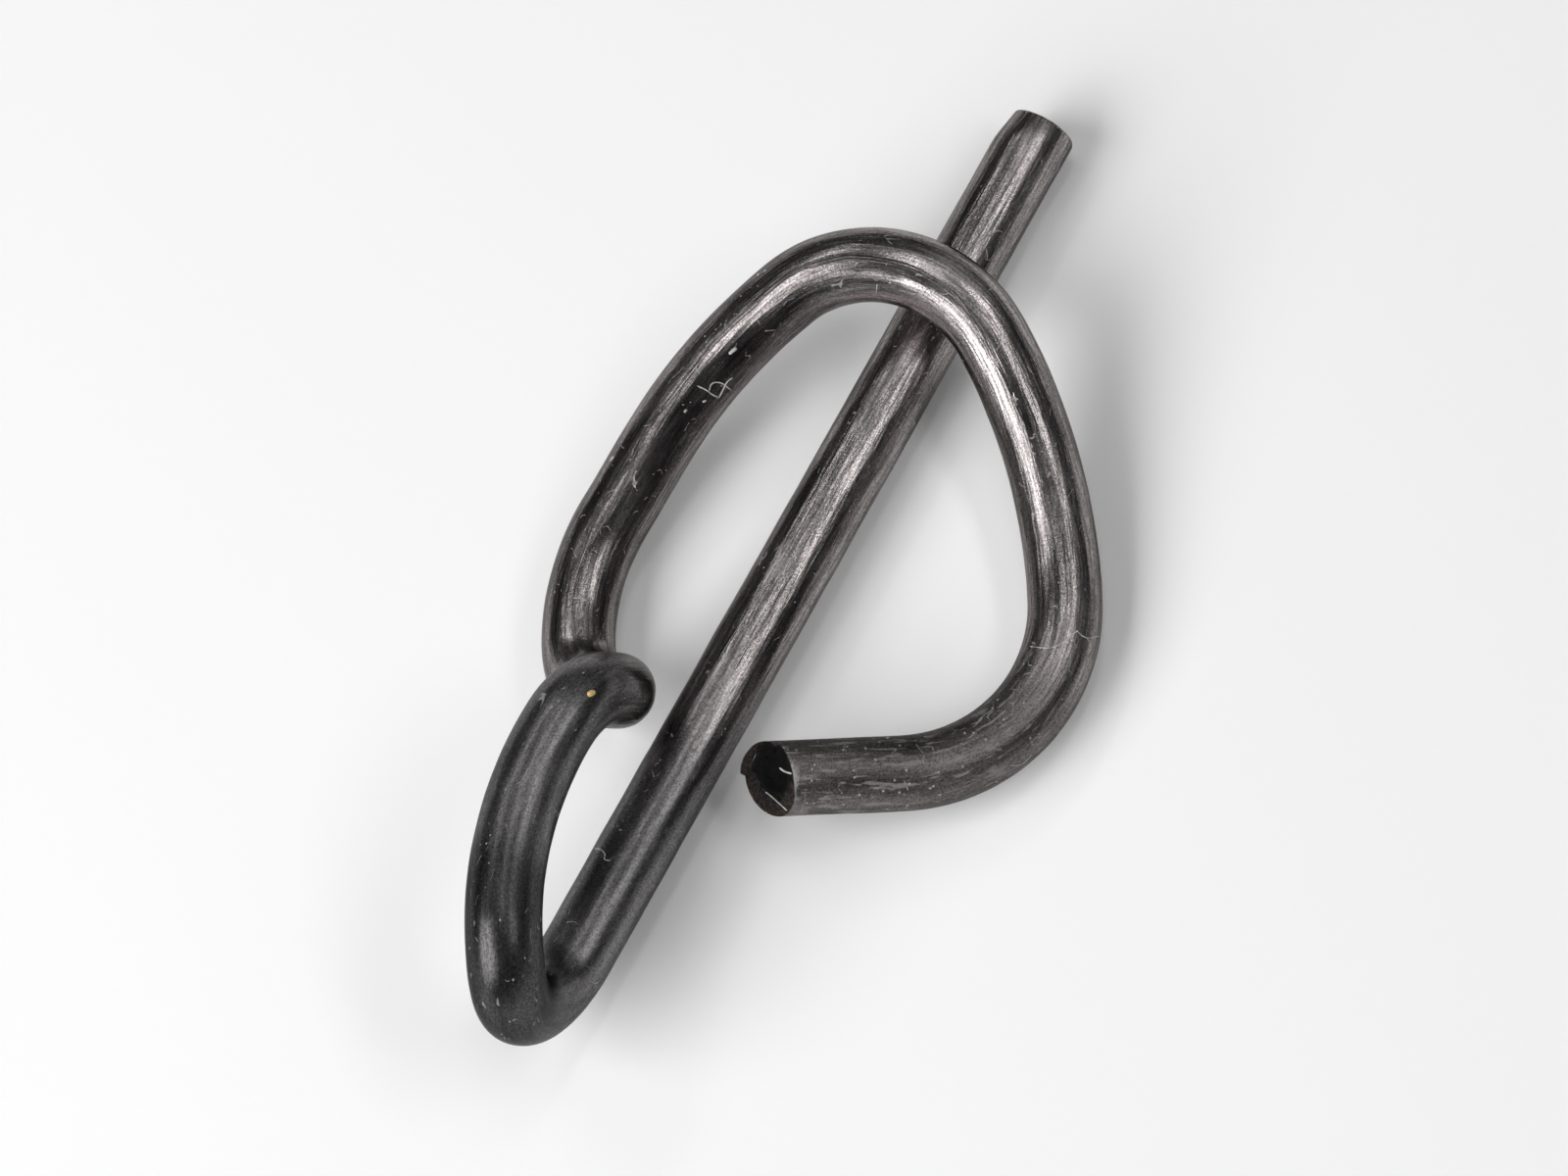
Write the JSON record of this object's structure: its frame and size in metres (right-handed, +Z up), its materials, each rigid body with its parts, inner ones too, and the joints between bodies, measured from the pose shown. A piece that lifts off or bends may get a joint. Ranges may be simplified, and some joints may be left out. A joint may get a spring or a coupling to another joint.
{
  "type": "clevis pin",
  "caption": "Clevis pin bent from one length of round spring wire: a straight shaft, a hooked head, a twisted neck and an open heart-shaped keeper loop that crosses over the shaft.",
  "frame": {"origin": "centre of the bottom of the bounding box, on the floor that the pin lies on", "axes": "+X level along the shaft towards its tip, +Z up as the pin lies at rest on the shaft's tip, the left arm's lower bend and the loop's lower bend, +Y towards the left arm of the keeper loop"},
  "size_m": [0.044, 0.022, 0.0102],
  "materials": {
    "wire": "hard-drawn spring steel wire with a thin black oxide, semi-gloss, with fine lines along the wire"
  },
  "bodies": {
    "root": {"wire_clevis_pin": "wire"}
  },
  "joints": []
}
